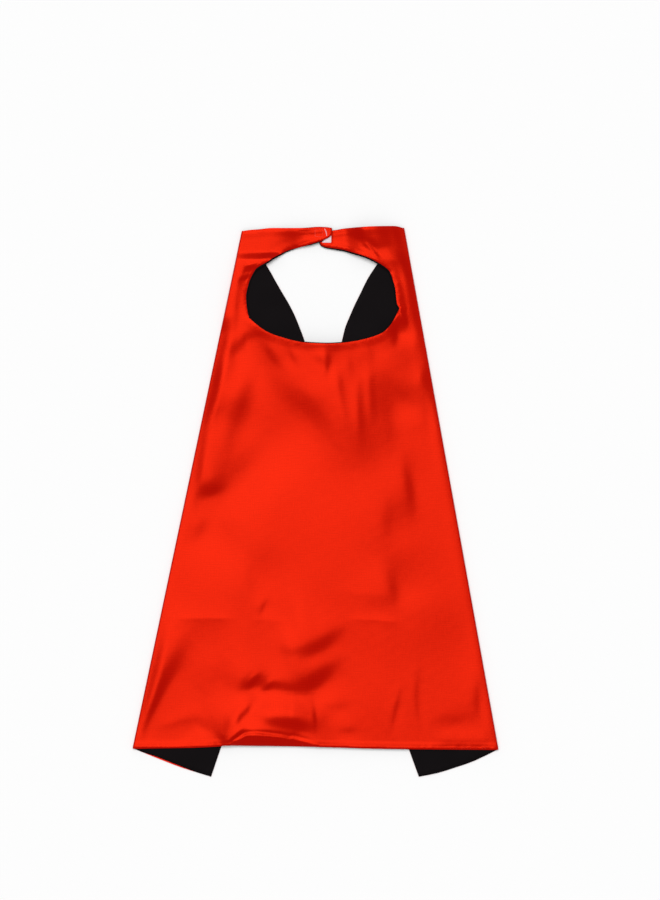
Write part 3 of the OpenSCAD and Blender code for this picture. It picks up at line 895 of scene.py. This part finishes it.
RED = satin("outer_satin", (0.405, 0.0018, 0.0006), (0.465, 0.0026, 0.0008), 0.27, 0.86, (1.0, 0.040, 0.009), 1.7, (0.06, (1.0, 0.06, 0.03)))
BLACK = satin("lining_satin", (0.0020, 0.0015, 0.0017), (0.0038, 0.0031, 0.0034), 0.40, 0.03, (0.9, 0.75, 0.8), 1.45, (0.0, (0.1, 0.1, 0.1)))


def plain(name, colour, rough, spec=0.3, scale=900, depth=0.12, var=0.12, sheen=0.0):
    m, nt, p = new_material(name)
    tc = nt.nodes.new("ShaderNodeTexCoord")
    n = nt.nodes.new("ShaderNodeTexNoise")
    n.inputs["Scale"].default_value = scale
    n.inputs["Detail"].default_value = 3
    nt.links.new(tc.outputs["Object"], n.inputs["Vector"])
    ramp = nt.nodes.new("ShaderNodeValToRGB")
    ramp.color_ramp.elements[0].position, ramp.color_ramp.elements[1].position = 0.3, 0.7
    ramp.color_ramp.elements[0].color = (*[c * (1 - var) for c in colour], 1)
    ramp.color_ramp.elements[1].color = (*[min(1, c * (1 + var)) for c in colour], 1)
    nt.links.new(n.outputs["Fac"], ramp.inputs[0])
    nt.links.new(ramp.outputs[0], p.inputs["Base Color"])
    bump = nt.nodes.new("ShaderNodeBump")
    bump.inputs["Strength"].default_value = depth
    bump.inputs["Distance"].default_value = 0.0003
    nt.links.new(n.outputs["Fac"], bump.inputs["Height"])
    nt.links.new(bump.outputs[0], p.inputs["Normal"])
    p.inputs["Roughness"].default_value = rough
    p.inputs["Specular IOR Level"].default_value = spec
    p.inputs["Sheen Weight"].default_value = sheen
    return m


HOOK = plain("hook_tape", (0.80, 0.78, 0.79), 0.45, 0.4)
LOOP = plain("loop_tape", (0.84, 0.70, 0.74), 0.75, 0.25, sheen=0.3)
THREAD_RED = plain("red_thread", (0.86, 0.085, 0.060), 0.45, 0.5, scale=3000)
# thread coloured pink, not white: on the tack arc its colour is partly thread and partly a painted highlight
THREAD_WITH_PAINTED_HIGHLIGHT = plain("white_thread", (0.86, 0.36, 0.38), 0.5, 0.4, scale=3000)


# ---------------------------------------------------------------- thread, patches and tack
def tube_parts(path, radius, sides=6, closed_ends=True):
    """Points and faces of a round tube along a path of 3-D points in mm."""
    path = np.asarray(path, float)
    n = len(path)
    tan = np.gradient(path, axis=0)
    tan /= np.maximum(np.linalg.norm(tan, axis=1), 1e-9)[:, None]
    up = np.array([0, 0, 1.0])
    side = np.cross(tan, up)
    bad = np.linalg.norm(side, axis=1) < 0.2
    side[bad] = np.cross(tan[bad], np.array([1.0, 0, 0]))
    side /= np.linalg.norm(side, axis=1)[:, None]
    nor = np.cross(side, tan)
    ang = np.linspace(0, 2 * np.pi, sides, endpoint=False)
    rad = np.full(n, radius) if np.isscalar(radius) else np.asarray(radius)
    pts = path[:, None] + rad[:, None, None] * (np.cos(ang)[None, :, None] * side[:, None] + np.sin(ang)[None, :, None] * nor[:, None])
    pts = pts.reshape(-1, 3)
    faces = []
    for i in range(n - 1):
        for k in range(sides):
            a, b = i * sides + k, i * sides + (k + 1) % sides
            faces.append((a, b, b + sides, a + sides))
    faces.append(tuple(range(sides))[::-1])
    faces.append(tuple((n - 1) * sides + k for k in range(sides)))
    return pts, faces


def join_parts(name, parts, mat):
    V, F, at = [], [], 0
    for p, f in parts:
        V.append(p)
        F += [tuple(i + at for i in t) for t in f]
        at += len(p)
    ob = mesh_object(name, np.concatenate(V), F, mat=mat)
    return ob


def inset_path(path, amount):
    t = np.gradient(path, axis=0)
    t /= np.maximum(np.linalg.norm(t, axis=1), 1e-9)[:, None]
    return path + amount * np.stack([-t[:, 1], t[:, 0]], 1)


def at_height(name, xy, n):
    """3-D places on a region at height n above the fold axis."""
    lift = {"back": back_height, "tab": tab_height}.get(name)
    if lift is not None:
        z = AXIS_Z + n + lift(xy)
    else:
        z = AXIS_Z - n + wing_height(xy, name[5:])
    return np.concatenate([xy, z[:, None]], 1)


def seam_thread(piece, region, mat):
    parts = []
    for path in outer[region]["free"]:
        p = inset_path(path, 1.7)                     # loops run counter-clockwise, so the cloth is on the left
        seg = np.concatenate([[0], np.cumsum(np.linalg.norm(np.diff(p, axis=0), axis=1))])
        s = np.arange(7.0, seg[-1] - 7.0, 1.25)
        q = np.stack([np.interp(s, seg, p[:, 0]), np.interp(s, seg, p[:, 1])], 1)
        m = MID + 0.05 * np.sin(np.arange(len(q)) * np.pi / 2)
        pts = at_height(region, q, 0.0)
        pts[:, 2] += m if not region.startswith("wing") else -m
        parts.append(tube_parts(pts, 0.10, 5))
    return join_parts(piece, parts, mat)


def stitch(a, b, region, top, radius=0.27, rise=0.16):
    """One stitch from a to b that lies on the cloth and dives in at both ends."""
    t = np.linspace(0, 1, 7)
    xy = np.asarray(a, float) + (np.asarray(b, float) - np.asarray(a, float)) * t[:, None]
    p = at_height(region, xy, top)
    p[:, 2] += rise - 0.55 * np.abs(2 * t - 1) ** 4
    return tube_parts(p, radius * (1 - 0.35 * np.abs(2 * t - 1) ** 2), 6)


def stitch_row(points, length, gap, region, top, **kw):
    points = np.asarray(points, float)
    seg = np.concatenate([[0], np.cumsum(np.linalg.norm(np.diff(points, axis=0), axis=1))])
    n = max(1, int(seg[-1] / (length + gap)))
    parts = []
    for i in range(n):
        s0 = (i + 0.5) * seg[-1] / n - length / 2
        a = [np.interp(s0, seg, points[:, k]) for k in (0, 1)]
        b = [np.interp(s0 + length, seg, points[:, k]) for k in (0, 1)]
        parts.append(stitch(a, b, region, top, **kw))
    return parts


TOP = MID + 0.04 + PLY        # the outer cloth's face above the fold axis, away from its edge
pieces = {}
pieces["back_edge_seam_thread"] = seam_thread("back_edge_seam_thread", "back", THREAD_RED)
pieces["neck_tab_edge_seam_thread"] = seam_thread("neck_tab_edge_seam_thread", "tab", THREAD_RED)
for s in ("left", "right"):
    pieces[s + "_front_edge_seam_thread"] = seam_thread(s + "_front_edge_seam_thread", "wing_" + s, THREAD_RED)

# box stitching of the hook patch, on the upper tab
x0, y0, x1, y1 = -0.6, 354.9, 9.6, 364.6
pieces["hook_patch_box_stitching"] = join_parts("hook_patch_box_stitching", sum([
    stitch_row([(x0, y0), (x0, y1)], 1.7, 0.5, "tab", TOP, radius=0.3), stitch_row([(x0, y0), (x1, y0)], 1.7, 0.5, "tab", TOP, radius=0.3),
    stitch_row([(x0, y1), (x1, y1)], 1.7, 0.5, "tab", TOP, radius=0.22), stitch_row([(x1, y0), (x1, y1)], 1.7, 0.5, "tab", TOP, radius=0.22)], []), THREAD_RED)

# white satin-stitched tack: threads side by side across a curved line, coloured pink and widened so that the arc is
# partly thread and partly a painted highlight where the satin drapes over the patch's rounded corner
arc = softened([(11.6, 366.0), (13.2, 363.8), (14.2, 361.2), (14.9, 358.5), (15.0, 355.8)], 2)
seg = np.concatenate([[0], np.cumsum(np.linalg.norm(np.diff(arc, axis=0), axis=1))])
parts = []
for s in np.arange(0.1, seg[-1], 0.36):
    c = np.array([np.interp(s, seg, arc[:, 0]), np.interp(s, seg, arc[:, 1])])
    c2 = np.array([np.interp(s + 0.3, seg, arc[:, 0]), np.interp(s + 0.3, seg, arc[:, 1])])
    d = unit(c2 - c) if np.linalg.norm(c2 - c) > 1e-6 else d
    w = 1.15 - 0.35 * abs(2 * s / seg[-1] - 1) ** 2
    a, b = c + np.array([-d[1], d[0]]) * w + d * 0.2, c - np.array([-d[1], d[0]]) * w - d * 0.2
    parts.append(stitch(a, b, "tab", TOP, radius=0.2, rise=0.2))
pieces["tab_end_tack_thread_and_painted_highlight"] = join_parts("tab_end_tack_thread_and_painted_highlight", parts, THREAD_WITH_PAINTED_HIGHLIGHT)

# stitches that close the gap in the hem: short whipped stitches over the edge
parts = []
xs = np.arange(134, 231, 3.9)
for x in xs:
    yb = np.interp(x, hem_path[np.argsort(hem_path[:, 0]), 0], hem_path[np.argsort(hem_path[:, 0]), 1])
    parts.append(stitch((x - 0.5, yb + 0.9), (x + 0.7, yb + 2.9), "back", TOP - 0.02, radius=0.17, rise=0.12))
pieces["turning_gap_whip_stitches"] = join_parts("turning_gap_whip_stitches", parts, THREAD_RED)


def pad(name, rect, z0, z1, mat, cut=None):
    """The plan of a woven tape pad with rounded corners: points, triangles, distance to the edge and a rounded profile
    at the rim, from which the caller shapes its face.
    """
    (ax, ay), (bx, by) = rect
    r = 0.7
    pts = []
    for cx, cy, a0 in ((bx - r, by - r, 0), (ax + r, by - r, 90), (ax + r, ay + r, 180), (bx - r, ay + r, 270)):
        for a in np.radians(np.arange(a0, a0 + 91, 22.5)):
            pts.append((cx + r * math.cos(a), cy + r * math.sin(a)))
    loop = np.array(pts)
    if cut is not None:
        loop = np.array([p for p in loop if not inside(np.array([p]), cut)[0]] )
    loop = resample(np.concatenate([loop, loop[:1]]), 0.8)[:-1]
    v, f = triangulate(loop, 0.8)
    d = distance(v, loop, closed=True)
    rim = np.sqrt(1 - (1 - np.clip(d / 0.35, 0, 1)) ** 2)
    return v, f, d, rim


def pad_object(name, v, f, top, bottom, mat):
    n = len(v)
    e = free_edges(f)
    a, b = e[:, 0], e[:, 1]
    walls = np.concatenate([np.stack([a + n, b + n, b], 1), np.stack([a + n, b, a], 1)])
    verts = np.concatenate([np.concatenate([v, top[:, None]], 1), np.concatenate([v, bottom[:, None]], 1)])
    return mesh_object(name, verts, np.concatenate([f, f[:, ::-1] + n, walls]), mat=mat)


lo, hi = [np.array(c) * 1000 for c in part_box("hook_patch")]
v, f, d, rim = pad("hook", ((lo[0], lo[1]), (hi[0], hi[1])), 0, 0, HOOK, cut=np.array([[11.5, 349], [21, 349], [21, 357.2]]))
hook_top = AXIS_Z + MID - 0.04 - PLY + tab_height(v) - 0.02
hook_base = np.full(len(v), hi[2] - 0.35)
pad_ob = pad_object("hook_patch_tape", v, f, np.maximum(hook_top, hook_base + 0.15), hook_base + 0.05 * (1 - rim), HOOK)
parts = []
for j, y in enumerate(np.arange(lo[1] + 0.9, hi[1] - 0.6, 0.95)):
    for i, x in enumerate(np.arange(lo[0] + 0.8, hi[0] - 0.6, 1.15)):
        if inside(np.array([[x, y]]), np.array([[11.0, 348], [22, 348], [22, 358]]))[0]:
            continue
        z = hi[2] - 0.33
        turn = 1 if j % 2 else -1
        t = np.linspace(0, 1, 6)
        hx = x + turn * 0.30 * np.sin(t * np.pi * 0.95) * t
        hz = z - 0.42 * np.sin(t * np.pi * 0.62)
        parts.append(tube_parts(np.stack([hx, np.full(6, y), hz], 1), 0.09, 4))
pieces["hook_patch_hooks"] = join_parts("hook_patch_hooks", parts, HOOK)
pieces["hook_patch_tape"] = pad_ob

lo, hi = [np.array(c) * 1000 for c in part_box("loop_patch")]
v, f, d, rim = pad("loop", ((lo[0], lo[1]), (hi[0], hi[1])), 0, 0, LOOP)
base = AXIS_Z + TOP + back_height(v)
q = np.sin(v[:, 0] * 5.1) * np.sin(v[:, 1] * 5.3)
stitchline = np.exp(-((d - 1.2) / 0.35) ** 2)
pieces["loop_patch_tape"] = pad_object("loop_patch_tape", v, f, base + 0.14 + 0.34 * rim + 0.05 * q - 0.14 * stitchline, base - 0.05, LOOP)
parts = []
prng = np.random.default_rng(5)
for y in np.arange(lo[1] + 0.35, hi[1] - 0.2, 0.62):
    for x in np.arange(lo[0] + 0.35, hi[0] - 0.2, 0.62):
        if min(x - lo[0], hi[0] - x, y - lo[1], hi[1] - y) < 1.5 and prng.random() < 0.45:
            continue
        a = prng.uniform(0, 6.28)
        t = np.linspace(0, 1, 6)
        r = prng.uniform(0.22, 0.36)
        px = x + prng.uniform(-0.2, 0.2) + r * np.cos(t * np.pi) * math.cos(a)
        py = y + prng.uniform(-0.2, 0.2) + r * np.cos(t * np.pi) * math.sin(a)
        pz = AXIS_Z + TOP + 0.36 + prng.uniform(0.14, 0.30) * np.sin(t * np.pi)
        parts.append(tube_parts(np.stack([px, py, pz], 1), 0.05, 3))
pieces["loop_patch_pile"] = join_parts("loop_patch_pile", parts, LOOP)
inset = 1.2
ring = [(lo[0] + inset, lo[1] + inset), (hi[0] - inset, lo[1] + inset), (hi[0] - inset, hi[1] - inset), (lo[0] + inset, hi[1] - inset), (lo[0] + inset, lo[1] + inset)]
pieces["loop_patch_box_stitching"] = join_parts("loop_patch_box_stitching", sum([
    stitch_row([ring[k], ring[k + 1]], 1.6, 0.5, "back", TOP + 0.34, radius=0.17, rise=0.12) for k in range(4)], []), THREAD_WITH_PAINTED_HIGHLIGHT)

# ---------------------------------------------------------------- what rides on what
for name, ob in shells.items():
    ob.data.materials.append(RED if name.startswith("outer") else BLACK)
for ply in ("outer", "lining"):
    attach(shells[ply + "_satin_back"], "back_panel")
    for s in ("left", "right"):
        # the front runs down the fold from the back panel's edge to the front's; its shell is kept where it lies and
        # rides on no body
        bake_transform(shells[f"{ply}_satin_{s}_front"])
    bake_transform(shells[ply + "_satin_neck_tab"])
    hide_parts(ply + "_back_panel")
    for s in ("left", "right"):
        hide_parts(f"{ply}_{s}_wing")
    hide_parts(ply + "_neck_tab")

for piece, body, node, mat_slot in (
        ("back_edge_seam_thread", "back_panel", "back_edge_seam", "red_thread"),
        ("left_front_edge_seam_thread", "left_wing", "left_wing_edge_seam", "red_thread"),
        ("right_front_edge_seam_thread", "right_wing", "right_wing_edge_seam", "red_thread"),
        ("neck_tab_edge_seam_thread", "neck_tab", "neck_tab_edge_seam", "red_thread"),
        ("turning_gap_whip_stitches", "back_panel", "turning_gap_stitching", "red_thread"),
        ("hook_patch_box_stitching", "neck_tab", "hook_patch_stitching", "red_thread"),
        ("tab_end_tack_thread_and_painted_highlight", "neck_tab", "tab_end_tack", "white_thread"),
        ("hook_patch_tape", "neck_tab", "hook_patch", "hook_tape"), ("hook_patch_hooks", "neck_tab", "hook_patch", "hook_tape"),
        ("loop_patch_tape", "back_panel", "loop_patch", "loop_tape"), ("loop_patch_pile", "back_panel", "loop_patch", "loop_tape"),
        ("loop_patch_box_stitching", "back_panel", "loop_patch_stitching", "white_thread")):
    ob = pieces[piece]
    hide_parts(node)
    if piece == "neck_tab_edge_seam_thread":
        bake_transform(ob)
    else:
        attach(ob, body)

# ---------------------------------------------------------------- floor, light and camera
me = bpy.data.meshes.new("floor")
me.from_pydata([(-6, -6, -0.0006), (6, -6, -0.0006), (6, 6, -0.0006), (-6, 6, -0.0006)], [], [(0, 1, 2, 3)])
floor = bpy.data.objects.new("floor", me)
bpy.context.scene.collection.objects.link(floor)
m, nt, p = new_material("paper")
p.inputs["Base Color"].default_value = (0.97, 0.97, 0.97, 1)
p.inputs["Roughness"].default_value = 0.9
p.inputs["Specular IOR Level"].default_value = 0.1
me.materials.append(m)
floor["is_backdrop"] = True


def area_light(name, where, aim, size, power, colour=(1, 1, 1)):
    d = bpy.data.lights.new(name, "AREA")
    d.shape = "RECTANGLE"
    d.size, d.size_y = size
    d.energy = power
    d.color = colour
    o = bpy.data.objects.new(name, d)
    bpy.context.scene.collection.objects.link(o)
    o.location = where
    o.rotation_mode = "QUATERNION"
    o.rotation_quaternion = (Vector(aim) - Vector(where)).to_track_quat("-Z", "Y")
    return o


def sun_light(name, toward, spread, power, colour=(1, 1, 1)):
    """A very large, far softbox: the same angle over the whole cloth."""
    d = bpy.data.lights.new(name, "SUN")
    d.angle = math.radians(spread)
    d.energy = power
    d.color = colour
    o = bpy.data.objects.new(name, d)
    bpy.context.scene.collection.objects.link(o)
    o.location = Vector(toward) * 3
    o.rotation_mode = "QUATERNION"
    o.rotation_quaternion = (-Vector(toward)).to_track_quat("-Z", "Y")
    return o


sun_light("softbox", (-0.095, 0.225, 1.0), 40, 2.05)
world = bpy.data.worlds.new("studio")
bpy.context.scene.world = world
world.use_nodes = True
world.node_tree.nodes["Background"].inputs["Color"].default_value = (1, 1, 1, 1)
world.node_tree.nodes["Background"].inputs["Strength"].default_value = 0.38

cam = bpy.data.cameras.new("camera")
cam_ob = bpy.data.objects.new("camera", cam)
bpy.context.scene.collection.objects.link(cam_ob)
HEIGHT = 9.0
cam_ob.location = (0.01943, 0.0690, HEIGHT)
cam_ob.rotation_euler = (0, 0, 0)
cam.sensor_width = 36
cam.lens = 36 * (HEIGHT - 0.005) / (900 * UNIT / 1000)
cam.clip_end = 50
bpy.context.scene.camera = cam_ob
bpy.context.scene.view_settings.view_transform = "Standard"
bpy.context.scene.view_settings.look = "None"
bpy.context.scene.view_settings.exposure = 0.0

lo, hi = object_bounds()
print("built", round(time.time() - t0, 1), "s")
